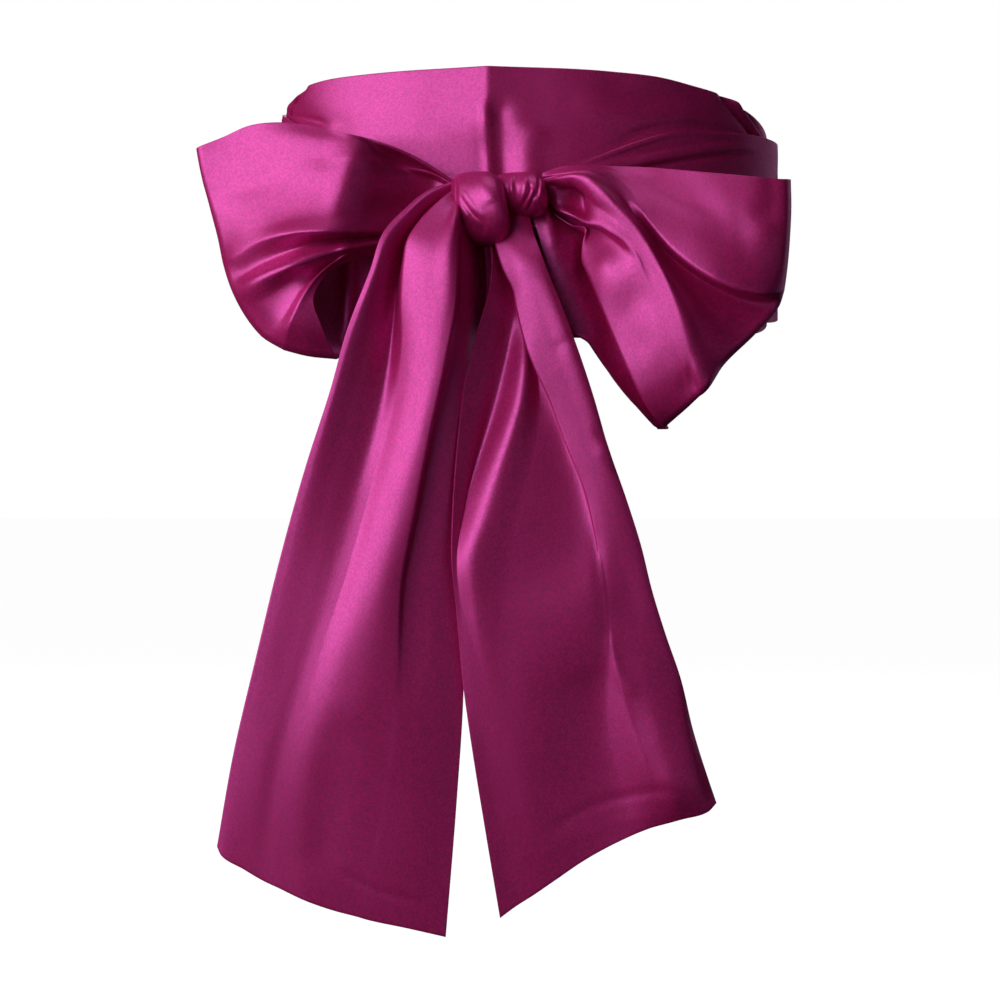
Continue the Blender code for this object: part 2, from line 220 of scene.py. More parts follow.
# Lines that go on, past their own points, between two others: the share of the way over, and
# the shares of those lines' lengths at which they have their points.
LATE = (0.6, 0.7, 0.8, 0.88, 0.95, 1)
MIDWAY = (0.3, 0.4, 0.5, *LATE)
LOOP_RIGHT_SPREAD = (
    ("lit lip", "long ridge", "face corner", 0.25, LATE),
    ("arch edge", "long ridge", "lit lip", 0.3, MIDWAY),
    ("pocket roof", "long ridge", "lit lip", 0.55, MIDWAY),
    ("pocket floor", "long ridge", "lit lip", 0.8, MIDWAY),
    ("tuck", "long ridge", "face corner", 0.36, LATE),
    ("lower face", "long ridge", "face corner", 0.7, LATE),
)
TAIL_LEFT_FOLDS = (
    ("outer edge", 1, (
        (452, 182, 122), (426, 192, 131), (404, 210, 139), (384, 232, 145), (370, 270, 148),
        (348, 328, 149), (330, 390, 147), (306, 466, 143), (282, 552, 139), (256, 656, 137),
        (233, 756, 134), (217, 846, 131),
    )),
    ("rolled rim", 0.2, (
        (453, 184, 123), (429, 195, 133), (408, 213, 141), (388, 236, 146), (375, 271, 149),
        (353, 330, 149.5), (335, 391, 147.5), (312, 468, 143.5), (290, 556, 139.5),
        (266, 660, 137.5), (244, 760, 135), (221, 855, 131.5),
    )),
    ("strip middle", 0, (
        (454, 186, 122), (432, 199, 131), (414, 218, 137), (396, 240, 141), (386, 272, 143),
        (372, 332, 143), (356, 396, 142.5), (336, 472, 141.5), (316, 560, 139.5), (290, 664, 138),
        (262, 766, 136), (244, 869.5, 132.5),
    )),
    ("valley", 0, (
        (456, 190, 121), (436, 205, 127), (420, 222, 129), (407, 244, 131), (399, 274, 132),
        (394, 320, 133.5), (386, 390, 136.5), (362, 478, 139), (338, 566, 139.5), (306, 668, 138.5),
        (276, 775, 136), (262, 879.5, 133),
    )),
    ("curled edge", 0.7, (
        (457, 188, 124), (441, 200, 136), (421, 220, 142), (408, 240, 145.5), (404, 262, 146.5),
        (401, 300, 145.5), (402, 340, 144), (396, 395, 141.5), (374, 480, 140.5), (348, 570, 140.5),
        (314, 674, 139.5), (284, 780, 136.5), (280, 888.5, 133.8),
    )),
    ("bright slope", 0, (
        (458, 192, 125), (449, 213, 142), (436, 243, 150.5), (430, 300, 153.5), (425, 345, 153),
        (412, 405, 149.5), (388, 490, 147.5), (364, 580, 147), (334, 682, 142.8), (304, 786, 138),
        (304, 899.5, 134.8),
    )),
    ("brow", 0, (
        (460, 196, 126), (455, 220, 147), (452, 250, 154), (451, 300, 156), (440, 355, 155.5),
        (424, 425, 153.5), (403, 505, 151), (382, 590, 149.5), (356, 690, 144.4), (330, 793, 138.6),
        (332, 910.5, 135),
    )),
    ("thin line", 0.6, (
        (461, 198, 125), (457, 225, 146), (456, 252, 153), (455, 300, 155.5), (445, 360, 155.5),
        (430, 430, 153.5), (414, 509, 151), (401, 576, 149), (396, 690, 144.5), (381, 805, 138.6),
        (360, 918, 135.1),
    )),
    ("below the line", 0.3, (
        (461.5, 200, 122), (460, 228, 140), (460, 254, 144), (459, 300, 147), (449, 362, 148),
        (434, 432, 147), (418, 512, 145.5), (405, 580, 145.5), (400, 692, 144.1), (386, 806, 138.5),
        (363, 918.8, 135),
    )),
    ("dark side", 0, (
        (462, 202, 118), (467, 240, 134), (470, 290, 138), (466, 350, 140), (457, 430, 141),
        (448, 510, 140.5), (438, 600, 140.5), (434, 700, 141), (424, 800, 138), (408, 928.5, 134.5),
    )),
    ("inner edge", 1, (
        (463, 204, 114), (481, 240, 108), (486, 290, 112), (482, 340, 118), (473, 430, 130),
        (466, 510, 134), (464, 600, 136), (463, 700, 137), (457, 800, 135), (446, 937, 133),
    )),
)
TAIL_RIGHT_FOLDS = (
    ("inner edge", 1, (
        (488, 236, 120), (492, 255, 128), (490, 285, 132), (477, 333, 138), (465, 380, 141),
        (458, 435, 143), (453, 510, 144), (452, 560, 146), (456, 610, 145), (464, 690, 142),
        (472, 750, 141), (484, 825, 139), (500, 918, 136),
    )),
    ("inner band", 0, (
        (492, 238, 120), (496, 262, 127), (497, 290, 130), (492, 333, 133), (484, 385, 135),
        (475, 440, 137), (463, 510, 140), (456, 560, 145), (462, 612, 145), (473, 692, 142.5),
        (486, 760, 140.5), (500, 835, 138), (514, 908, 135.5),
    )),
    ("ridge foot", 0, (
        (495, 239, 119), (500, 262, 123), (506, 286, 125), (512, 312, 127), (508, 345, 128),
        (499, 380, 130), (487, 420, 132), (475, 460, 135), (464, 510, 139), (458, 562, 145.5),
        (468, 615, 145.5), (486, 695, 143), (506, 775, 140.5), (532, 896, 136),
    )),
    ("soft ridge", 0, (
        (499, 240, 118), (504, 262, 121), (512, 286, 122), (519, 309, 125), (524, 334, 131),
        (526, 362, 138), (522, 400, 142), (513, 430, 143.5), (498, 470, 145), (484, 510, 146.5),
        (470, 550, 148.5), (474, 610, 147), (500, 700, 143.5), (526, 790, 140.5),
        (556, 879.5, 136.5),
    )),
    ("broad side", 0, (
        (502, 239, 118), (508, 264, 120), (516, 288, 121), (524, 312, 122), (531, 337, 126),
        (537, 365, 131), (540, 400, 135), (536, 440, 139), (525, 490, 142.5), (513, 540, 145),
        (505, 600, 146), (512, 660, 145.5), (530, 725, 143), (556, 800, 138.5), (582, 862, 136),
    )),
    ("tuck", 0.2, (
        (501, 236, 120), (507, 260, 124), (514, 282, 126), (521, 302, 128), (527, 324, 130),
        (533, 346, 132), (541, 369, 134), (549, 390, 135), (558, 415, 137), (567, 442, 138),
        (582, 482, 140), (595, 530, 142), (604, 590, 144.4), (610, 650, 143.2), (607, 720, 138.9),
        (623, 790, 137.6), (637, 833, 137),
    )),
    ("strip lip", 0.9, (
        (497, 228, 126), (495, 240, 130), (499, 257, 134), (505, 272, 136), (513, 288, 137.5),
        (517, 308, 138.5), (522, 332, 139.5), (530, 355, 141), (541, 380, 141.5), (551, 403, 141.5),
        (561, 430, 141.5), (571, 456, 142), (585, 490, 142.5), (597, 535, 143), (607, 590, 144),
        (613, 650, 143.6), (629, 717, 143.8), (651, 785, 144.2), (652, 827.5, 138.4),
    )),
    ("strip middle", 0, (
        (510, 214, 126), (513, 238, 133), (520, 262, 140), (530, 285, 142), (540, 310, 143),
        (551, 340, 143.5), (560, 368, 144), (570, 395, 144), (580, 425, 144), (592, 470, 144),
        (612, 540, 144), (634, 610, 142.5), (650, 685, 143.5), (665, 750, 146.5), (676, 792, 146.5),
        (680, 819.5, 140.7),
    )),
    ("second line", 0.2, (
        (522, 210, 125), (529, 234, 133), (537, 256, 140), (546, 281, 143), (556, 306, 144.5),
        (571, 345, 145.5), (588, 395, 145.5), (604, 448, 145), (622, 502, 144.5), (636, 546, 143.5),
        (648, 594, 142.5), (662, 638, 141), (675, 680, 140), (688, 735, 142), (700, 785, 143),
        (709, 811, 138.5),
    )),
    ("outer edge", 1, (
        (527, 209, 123), (533, 232, 132), (541, 253, 139), (550, 278, 142), (560, 303, 143.5),
        (575, 343, 144.5), (592, 393, 144.5), (608, 447, 144), (626, 500, 143.5), (640, 544, 142.5),
        (652, 592, 141.5), (666, 636, 140), (679, 676, 138.5), (692, 730, 138), (708, 780, 138.5),
        (716, 803, 137),
    )),
)
# Each crease is a name, its height, its width, how far out it lies and its line, across and down.
LOOP_LEFT_CREASES = (
    ("rear streak", 3.5, 3.6, 110, ((350, 240), (349, 290), (346, 350))),
)
LOOP_RIGHT_CREASES = (
    ("root wrinkle", 1.6, 1.8, 119, ((546, 214), (550, 232), (554, 252))),
    ("root trough", -1.6, 2, 118, ((556, 222), (562, 244), (568, 270))),
    ("dip by the edge", -1.2, 7, 126, ((770, 176), (768, 206), (756, 232))),
)
TAIL_LEFT_CREASES = (
    ("hem crease", -0.3, 2.4, 134, ((330, 866), (375, 889), (430, 904))),
    ("low slack", -0.6, 12, 136, ((350, 700), (330, 800), (316, 890))),
)
TAIL_RIGHT_CREASES = (
    ("first wrinkle", -0.35, 3, 140, ((588, 330), (570, 340), (552, 352))),
    ("second wrinkle", -0.7, 4, 140, ((620, 420), (606, 430), (594, 440))),
    ("second wrinkle's ridge", 0.4, 3.6, 140, ((624, 441), (608, 449), (594, 458))),
    ("third wrinkle", -0.6, 4, 140, ((636, 456), (622, 464), (610, 474))),
    ("hem crease", -0.4, 3, 140, ((540, 838), (590, 808), (630, 796), (666, 790), (704, 804))),
    ("hem ridge", 0.2, 4.4, 138, ((530, 860), (590, 832), (630, 820), (690, 812))),
    ("upright crease", -0.5, 3.4, 143, ((594, 520), (600, 590), (606, 660))),
    ("curved ridge", 0.7, 4, 143, ((604, 630), (616, 668), (640, 700))),
)


def from_view(points):
    """Points in millimetres, as x, out and z to the nearest half, from their places in the view."""
    across, down, out = np.asarray(points, float).T
    step = VIEW_STEP * (CAMERA_OUT - out)
    x = CAMERA_X + (across - VIEW_MIDDLE) * step
    z = CAMERA_Z + (VIEW_MIDDLE - down) * step
    return np.round(2 * np.stack((x, out, z), axis=1)) / 2


def points_at(line, shares):
    """Points at shares of a line's length, as long as it looks in the view."""
    line = np.asarray(line, float)
    steps_seen = np.hypot(*np.diff(line[:, :2], axis=0).T)
    marks = np.concatenate(([0.0], np.cumsum(steps_seen)))
    at = np.asarray(shares) * marks[-1]
    return np.stack([np.interp(at, marks, column) for column in line.T], axis=1)


def place_folds(folds, spread=()):
    """The folds with their points in millimetres."""
    lines = {name: np.asarray(points, float) for name, _, points in folds}
    for name, side, other, share, places in spread:
        near, far = points_at(lines[side], places), points_at(lines[other], places)
        lines[name] = np.concatenate((lines[name], near + (far - near) * share))
    return [(name, sharpness, from_view(lines[name])) for name, sharpness, _ in folds]


def place_creases(creases):
    """The creases with their lines in millimetres, as x and z."""
    placed = []
    for name, height, width, out, line in creases:
        points = from_view([(across, down, out) for across, down in line])
        placed.append((name, height, width, points[:, (0, 2)]))
    return placed


# ---- curves and sheets -------------------------------------------------------------------


def smooth_step(low, high, value):
    share = np.clip((value - low) / (high - low), 0.0, 1.0)
    return share * share * (3 - 2 * share)


def read_hermite(marks, values, before, after, at):
    """Values at places along a curve, given its values and its slopes on both sides of each mark."""
    place = np.clip(np.searchsorted(marks, at, side="right") - 1, 0, len(marks) - 2)
    step = (marks[place + 1] - marks[place])[..., None]
    share = (np.clip(at, marks[0], marks[-1]) - marks[place])[..., None] / step
    rest = 1 - share
    start = values[place] * (1 + 2 * share) + after[place] * step * share
    end = values[place + 1] * (1 + 2 * rest) - before[place + 1] * step * rest
    return start * rest**2 + end * share**2


def read_rows(rows, at):
    """Every column at places given in the first one, on curves that never swing past a row."""
    rows = np.asarray(rows, float)
    marks, values = rows[:, 0], rows[:, 1:]
    rises = np.diff(values, axis=0) / np.diff(marks)[:, None]
    product = rises[:-1] * rises[1:]
    total = rises[:-1] + rises[1:]
    inner = np.where(product > 0, 2 * product / np.where(total == 0, 1, total), 0)
    slopes = np.concatenate((rises[:1], inner, rises[-1:]))
    read = read_hermite(marks, values, slopes, slopes, np.asarray(at, float))
    return np.moveaxis(read, -1, 0)


def run_through(points, shares):
    """Points at shares of the way along a smooth curve through the given ones."""
    points = np.asarray(points, float)
    chords = np.linalg.norm(np.diff(points, axis=0), axis=1)
    marks = np.concatenate(([0.0], np.cumsum(chords)))
    rises = np.diff(points, axis=0) / chords[:, None]
    weight = (chords[1:] / (chords[1:] + chords[:-1]))[:, None]
    inner = rises[:-1] * weight + rises[1:] * (1 - weight)
    slopes = np.concatenate((rises[:1], inner, rises[-1:]))
    return read_hermite(marks, points, slopes, slopes, shares * marks[-1])


def loft(lines, sharpness, columns):
    """A grid from fold line to fold line, rounded over each fold as far as it isn't sharp.

    The lines are an array of folds, stations and coordinates. The grid has a row for each station.
    """
    chords = np.linalg.norm(np.diff(lines, axis=0), axis=2)[..., None] + 1e-6
    rises = np.diff(lines, axis=0) / chords
    weight = chords[1:] / (chords[1:] + chords[:-1])
    inner = rises[:-1] * weight + rises[1:] * (1 - weight)
    slopes = np.concatenate((rises[:1], inner, rises[-1:]))
    crisp = np.asarray(sharpness, float)[:, None, None]
    after = slopes[:-1] + (rises - slopes[:-1]) * crisp[:-1]
    before = slopes[1:] + (rises - slopes[1:]) * crisp[1:]
    widths = chords.mean(axis=(1, 2))
    counts = np.maximum(np.round(columns * widths / widths.sum()).astype(int), 3)
    strips = []
    for k, count in enumerate(counts):
        share = (np.arange(count) / count)[None, :, None]
        rest = 1 - share
        step = chords[k][:, None]
        start = lines[k][:, None] * (1 + 2 * share) + after[k][:, None] * step * share
        end = lines[k + 1][:, None] * (1 + 2 * rest) - before[k][:, None] * step * rest
        strips.append(start * rest**2 + end * share**2)
    strips.append(lines[-1][:, None])
    return np.concatenate(strips, axis=1)


def smooth_rows(points, times):
    """Evens out the run of each column, leaving its two ends where they are."""
    for _ in range(times):
        points[1:-1] = points[1:-1] * 0.5 + (points[:-2] + points[2:]) * 0.25
    return points


def cloth_map(points):
    """Each grid point's place on the flat cloth, across and along, in the points' unit."""
    across = np.linalg.norm(np.diff(points, axis=1), axis=2).mean(axis=0)
    along = np.linalg.norm(np.diff(points, axis=0), axis=2).mean(axis=1)
    u = np.concatenate(([0.0], np.cumsum(across)))
    v = np.concatenate(([0.0], np.cumsum(along)))
    return np.stack(np.meshgrid(u, v), axis=-1)


def nearness(flat, line, width, fade):
    """How near each flat point is to a smooth line, from 0 to 1, fading out at the line's ends."""
    line = run_through([(x, z, 0) for x, z in line], np.linspace(0, 1, 30))[:, :2]
    best = np.full(flat.shape[:-1], np.inf)
    place = np.zeros(flat.shape[:-1])
    for k, (start, end) in enumerate(zip(line[:-1], line[1:])):
        run = end - start
        share = np.clip(((flat - start) @ run) / (run @ run), 0, 1)
        away = np.linalg.norm(flat - start - share[..., None] * run, axis=-1)
        nearer = away < best
        best = np.where(nearer, away, best)
        place = np.where(nearer, (k + share) / (len(line) - 1), place)
    start_fade, end_fade = fade
    strength = smooth_step(0, start_fade, place) * (1 - smooth_step(1 - end_fade, 1, place))
    return strength * np.exp(-((best / width) ** 2))


def crease(points, folds):
    """Raises ridges and sinks troughs along lines seen from the front, as (x, z)."""
    flat = points[..., (0, 2)]
    for _, height, width, line in folds:
        points[..., 1] -= height * nearness(flat, line, width, CREASE_FADE)
    return points


def waist_creases(angle, z, folds):
    """How far out the ridges and troughs along lines round the waist stand, as (angle, z)."""
    flat = np.stack(np.broadcast_arrays(angle * WAIST_DEGREE, z), axis=-1)
    out = np.zeros(flat.shape[:-1])
    for _, height, width, line in folds:
        line = [(degrees * WAIST_DEGREE, height_up) for degrees, height_up in line]
        out += height * nearness(flat, line, width, CREASE_FADE)
    return out


def add_grid(name, points, uv):
    """A grid whose vertices are moved onto the cloth's form, with its place on the flat cloth."""
    rows, columns = points.shape[:2]
    bpy.ops.object.select_all(action="DESELECT")
    bpy.ops.mesh.primitive_grid_add(
        x_subdivisions=columns - 1, y_subdivisions=rows - 1, size=2
    )
    obj = bpy.context.object
    obj.name = name
    obj.data.name = name
    obj.data.vertices.foreach_set("co", (points.reshape(-1, 3) * MM).ravel())
    corner = np.empty(len(obj.data.loops), int)
    obj.data.loops.foreach_get("vertex_index", corner)
    layer = obj.data.uv_layers.active.data
    layer.foreach_set("uv", (uv.reshape(-1, 2)[corner] * MM).ravel())
    obj.data.update()
    return obj


# The rims' rounding, as a share of the cloth's thickness.
RIM_ROUNDING = 0.4


def thicken(obj, thickness):
    """Gives the sheet the cloth's thickness and rounds its rims."""
    bpy.context.view_layer.objects.active = obj
    shell = obj.modifiers.new("Cloth thickness", "SOLIDIFY")
    shell.thickness = thickness
    shell.offset = 0.0
    faces = len(obj.data.polygons)
    bpy.ops.object.modifier_apply(modifier=shell.name)
    round_rims(obj, 2 * faces, thickness * RIM_ROUNDING)
    bpy.ops.object.shade_smooth()
    return obj


def round_rims(obj, first_rim_face, width):
    """Bevels the edges that the rim's faces share with the two sides of the sheet."""
    mesh = obj.data
    edges = {}
    for face in mesh.polygons[first_rim_face:]:
        for key in face.edge_keys:
            edges[key] = edges.get(key, 0) + 1
    rim = {key for key, uses in edges.items() if uses == 1}
    weight = mesh.attributes.new("bevel_weight_edge", "FLOAT", "EDGE")
    keys = mesh.edge_keys
    weight.data.foreach_set("value", [1.0 if key in rim else 0.0 for key in keys])
    bevel = obj.modifiers.new("Rounded rims", "BEVEL")
    bevel.limit_method = "WEIGHT"
    bevel.width = width
    bevel.segments = 2
    bevel.use_clamp_overlap = True
    bpy.ops.object.modifier_apply(modifier=bevel.name)


# ---- the front turn and the arms ---------------------------------------------------------

# The crease that stands upright at the middle of the front turn.
CREASE_X = -23.0
CREASE_HEIGHT = 4.0
CREASE_REACH = 34.0
CREASE_FADE_Z = (26.0, 48.0)
# How far each sheet stops short of the first and last angle in its table, in degrees.
END_INSET = 0.1
PANEL_EDGES = (
    # angle from the front, top, bottom
    (-120, 62, -64),
    (-90, 66.5, -70),
    (-84, 68.5, -71),
    (-76, 71.5, -72.5),
    (-69, 74, -74),
    (-62, 76.4, -75),
    (-52, 77, -76),
    (-40, 76.5, -76),
    (0, 75.5, -76),
    (28, 73.5, -76),
    (40, 70.5, -75),
    (50, 67.5, -73),
    (60, 62.5, -71),
    (72, 57, -67),
    (90, 51, -59),
    (120, 52, -52),
)
ARM_TO_LEFT_EDGES = (
    # angle travelled, top, bottom, lift in layers
    (120, 52, -52, 0),
    (140, 27, -56, 0),
    (156, 2.5, -57, 0),
    (168, 1.5, -57, 0),
    (180, 28, -28, 0),
    (192, 57, -1.5, 0),
    (204, 57, -2.5, 1),
    (220, 59, -36, 1),
    (240, 64, -66, 1),
    (265, 70, -66, 1),
    (280, 64.5, -63, 1),
    (300, 50.5, -62, 1),
    (320, 36, -55, 1),
    (338, 20, -36, 1),
    (355, 9, -20, 1),
)
ARM_TO_RIGHT_EDGES = (
    (120, 62, -64, 0),
    (140, 30, -60, 0),
    (156, 2.5, -57, 0),
    (168, 1.5, -57, 2.3),
    (180, 28, -28, 2.5),
    (192, 57, -1.5, 2.3),
    (204, 57, -2.5, 1),
    (220, 57, -38, 1),
    (240, 54, -57, 2),
    (270, 49, -56, 3.5),
    (280, 48, -60, 3),
    (300, 47, -63, 1.6),
    (310, 45, -62, 1.2),
    (324, 43.5, -56, 1),
    (340, 31, -38, 1),
    (352, 18, -22, 1),
    (361, 9, -18, 1),
)
STRIP_WIDTH = 150.0
EDGE_SMOOTHING = 60
ARM_GATHERS = 5
MOST_GATHER_HEIGHT = 3.0
GATHER_RIM = 0.4
# How the gathers vary: by how much, in how many waves across, and the turn for each degree.
GATHER_HEIGHTS = (0.35, 3.3, 0.05)
GATHER_PLACES = (0.05, 2.6, 0.07)
# Angle travelled, and the share of the gathers' full height there.
ARM_GATHERING = (
    (120, 0),
    (152, 0),
    (170, 1),
    (192, 1),
    (222, 0.35),
    (262, 0.2),
    (285, 0),
    (322, 0),
    (345, 1),
    (361, 1),
)
WAIST_DEGREE = 2.2
CREASE_FADE = (0.22, 0.22)
# Each fold is a name, its height, its width and its line round the waist, as angle and z.
PANEL_FOLDS = (
    ("left rim", -3.2, 2, ((-60, 78), (-70, 71.5), (-77, 66), (-81, 58), (-82, 45))),
    ("left hollow", -1.2, 6, ((-80, 74), (-66, 62), (-52, 52), (-40, 46))),
    ("above the left lip", -1.8, 2.4, ((-88, 68), (-73, 61.5), (-60, 55), (-50, 49))),
    ("above the right wrap", -1.6, 2.6, ((66, 47), (50, 47.5), (40, 47.5), (30, 44), (16, 31))),
    ("left slack", 0.7, 8, ((-50, 30), (-30, 40), (-14, 34))),
    ("dark dip", -2.6, 6, ((-7, 62), (-6.4, 40), (-5.6, 24), (-5.2, 4))),
    ("lip by the dip", 1.4, 2.6, ((-9.9, 60), (-9.3, 40), (-8.7, 24), (-8.4, 4))),
    ("light bump", 1.5, 7, ((2, 46), (0, 30), (0, 6))),
    ("right slack", 0.9, 9, ((8, 60), (20, 50), (32, 50), (44, 58))),
    ("right dip", -0.8, 8, ((14, 76), (26, 62), (38, 66), (48, 74))),
    ("first pleat", -3.6, 1.9, ((47, 72), (52, 64), (59, 55.4), (67, 47), (75, 40))),
    ("pleat ridge", 2.6, 2.2, ((51, 72), (56, 63.5), (63, 55.4), (71, 48), (79, 41))),
    ("second pleat", -3, 1.8, ((55, 68), (60, 61), (67, 54), (75, 47), (84, 40))),
    ("back slack", 1.2, 10, ((-118, 30), (-104, 0), (-90, -30))),
    ("side fold", -1.3, 4, ((118, 20), (104, 4), (88, -4), (74, -30))),
    ("side ridge", 1.3, 5, ((118, -6), (104, -14), (88, -20), (74, -46))),
    ("low slack", 1, 9, ((-84, -20), (-62, -50), (-46, -66))),
)
ARM_TO_LEFT_FOLDS = (
    ("high fold", 2.2, 4.2, ((190, 49), (212, 47), (236, 52), (266, 58))),
    ("upper ridge", 2.9, 5.4, ((188, 36), (206, 31), (230, 26), (256, 32), (284, 36))),
    ("middle ridge", 3.3, 5, ((186, 24), (204, 15), (226, 4), (252, 7), (280, 15))),
    ("slanting ridge", 2.7, 4.4, ((186, 10), (203, 4), (222, -16), (243, -25), (270, -18))),
    ("low ridge", 2.3, 5.2, ((208, -8), (224, -30), (243, -44), (272, -40))),
    ("short fold", 1.7, 3.4, ((236, -56), (252, -58), (270, -52))),
    ("upper lip", 1, 1.8, ((270, 65), (287, 57.5), (301, 49.5), (316, 38))),
    ("front fold", -1.3, 3, ((286, 40), (304, 24), (322, 10), (340, 2))),
)
ARM_TO_RIGHT_FOLDS = (
    ("high fold", 1.8, 4, ((188, 46), (210, 49), (232, 44), (254, 42))),
    ("upper ridge", 3.1, 5, ((186, 33), (208, 33), (232, 22), (262, 14), (286, 18))),
    ("middle ridge", 2.8, 5.6, ((184, 20), (202, 17), (220, 4), (240, -6), (266, -8))),
    ("slanting ridge", 3, 4.6, ((188, 8), (206, -2), (226, -24), (252, -30), (280, -26))),
    ("low ridge", 2, 4.6, ((214, -22), (230, -42), (254, -47), (276, -44))),
    ("upper lip", 1.1, 1.8, ((292, 46.5), (310, 44), (325, 41.8), (338, 31.5), (352, 17))),
    ("inner fold", -1.7, 1.3, ((296, 36.8), (304, 35.5), (311, 32.2), (329, 23.3), (342, 15))),
    ("inner fold's lip", 1.1, 2.4, ((294, 41.5), (304, 39.5), (312, 36.5), (329, 28), (342, 19))),
)


def waist_points(angle, z, outward):
    """Points on the waist's oval, moved outward, at angles in degrees from the front."""
    turn = np.radians(angle)
    x = (WAIST_HALF_WIDTH + outward) * np.sin(turn)
    y = -(WAIST_HALF_DEPTH + outward) * np.cos(turn)
    return np.stack(np.broadcast_arrays(x, y, z), axis=-1)


def panel_points(columns, rows):
    first, last = PANEL_EDGES[0][0] + END_INSET, PANEL_EDGES[-1][0] - END_INSET
    angle = np.linspace(first, last, rows)[:, None]
    across = np.linspace(0, 1, columns)[None, :]
    top, bottom = read_rows(PANEL_EDGES, angle)
    z = top + (bottom - top) * across
    points = waist_points(angle, z, waist_creases(angle, z, PANEL_FOLDS))
    x = points[..., 0]
    roof = np.maximum(1 - np.abs(x - CREASE_X) / CREASE_REACH, 0.0) ** 2
    lift = CREASE_HEIGHT * roof * smooth_step(*CREASE_FADE_Z, z)
    points[..., 1] -= np.where(points[..., 1] < 0, lift, 0.0)
    return points


def arm_points(edges, folds, side, columns, rows):
    angle = np.linspace(edges[0][0] + END_INSET, edges[-1][0], rows)[:, None]
    across = np.linspace(0, 1, columns)[None, :]
    top, bottom, lift = (smooth_rows(column, EDGE_SMOOTHING) for column in read_rows(edges, angle))
    z = top + (bottom - top) * across
    width = top - bottom
    surplus = np.sqrt(2 * np.maximum((STRIP_WIDTH / width) ** 2 - 1, 0.0))
    height = np.minimum(width / (np.pi * ARM_GATHERS) * surplus, MOST_GATHER_HEIGHT)
    height = height * read_rows(ARM_GATHERING, angle)[0]
    amount, waves, turn = GATHER_HEIGHTS
    uneven = 1 - amount + amount * np.sin(waves * np.pi * across + turn * angle)
    amount, waves, turn = GATHER_PLACES
    shifted = across + amount * np.sin(waves * np.pi * across + turn * angle)
    gathers = height * uneven * np.sin(np.pi * ARM_GATHERS * shifted) ** 2
    rims = np.sin(np.pi * np.clip(across, 0.0, 1.0)) ** GATHER_RIM
    creases = waist_creases(angle, z, folds)
    return waist_points(side * angle, z, lift * LAYER + gathers * rims + creases)


# ---- the bow ------------------------------------------------------------------------------

LOOP_BACK_OUT = 106.0
LOOP_BEND_RADIUS = 3.5
# How far out, from the knot to the bend, the layer behind has its middle points.
LOOP_MIDDLE = 0.6
LOOP_LEFT_BACK = (
    # share of the width, root x, root z, middle x, middle z
    (0, -37, 7, -119, 39),
    (0.34, -37, -1, -111, 0),
    (0.68, -37, -9, -109, -49),
    (1, -37, -15, -87, -72),
)
LOOP_RIGHT_BACK = (
    (0, 11, 10, 66, 13),
    (0.36, 11, 4, 83, -34),
    (0.74, 11, -5, 64, -58),
    (1, 11, -12, 33, -79),
)


def to_world(points):
    """From x, out, z to x, y, z."""
    return points * (1, -1, 1)


def loop_points(folds, spread, back, columns, front_rows, back_rows):
    """The front layer's folds, the outer bend and the layer behind, back to the knot."""
    folds = place_folds(folds, spread)
    ends = np.array([points[-1] for _, _, points in folds], float)
    front_folds = []
    for name, sharp, points in folds:
        bend = (points[-1][0], points[-1][1] + LOOP_BEND_RADIUS, points[-1][2])
        front_folds.append((name, sharp, (*points[:-1], bend)))
    reach = np.sin(np.linspace(0, np.pi / 2, front_rows))
    front = np.stack([run_through(points, reach) for _, _, points in front_folds])
    widths = np.linalg.norm(np.diff(ends, axis=0), axis=1)
    share = np.concatenate(([0.0], np.cumsum(widths)))
    share /= share[-1]
    root_x, root_z, mid_x, mid_z = read_rows(back, share)
    back_reach = np.cos(np.linspace(0, np.pi / 2, back_rows))[1:]
    r = back_reach[None, :]
    root = (r - LOOP_MIDDLE) * (r - 1) / LOOP_MIDDLE
    middle = r * (r - 1) / (LOOP_MIDDLE * (LOOP_MIDDLE - 1))
    end = r * (r - LOOP_MIDDLE) / (1 - LOOP_MIDDLE)
    x = root_x[:, None] * root + mid_x[:, None] * middle + ends[:, :1] * end
    z = root_z[:, None] * root + mid_z[:, None] * middle + ends[:, 2:] * end
    behind = ends[:, 1:2] - LOOP_BEND_RADIUS
    out = LOOP_BACK_OUT + (behind - LOOP_BACK_OUT) * r**4
    rear = np.stack((x, out, z), axis=-1)
    lines = np.concatenate((front, rear), axis=1)
    from_bend = np.linalg.norm((lines - ends[:, None])[..., (0, 2)], axis=-1)
    inward = np.maximum(1 - from_bend / LOOP_BEND_RADIUS, 0.0)
    bend_out = ends[:, None, 1]
    lines[..., 1] = bend_out + (lines[..., 1] - bend_out) * np.sqrt(1 - inward**2)
    sharpness = [sharp for _, sharp, _ in folds]
    return to_world(loft(lines, sharpness, columns))


def tail_points(folds, columns, rows):
    """The folds' lines from the knot to the hem, and the cloth between them."""
    folds = place_folds(folds)
    shares = np.linspace(0, 1, rows)
    lines = np.stack([run_through(points, shares) for _, _, points in folds])
    return to_world(loft(lines, [sharp for _, sharp, _ in folds], columns))


KNOT_OVER = {"x": -27.0, "out": 123.6, "z": -7.6, "half_x": 14.8, "half_y": 20.5, "half_z": 19.8}
KNOT_UNDER = {"x": -5.6, "out": 121.0, "z": 0.2, "half_x": 14.6, "half_y": 18.0, "half_z": 12.0}
KNOT_BLUNTNESS = 3.4
# How far the humps lean to the side with their height, and forward with their width.
KNOT_SLANT = 0.16
KNOT_LEAN = 0.42
# The share of each hump's half width at which its open ends lie.
KNOT_END = 0.999


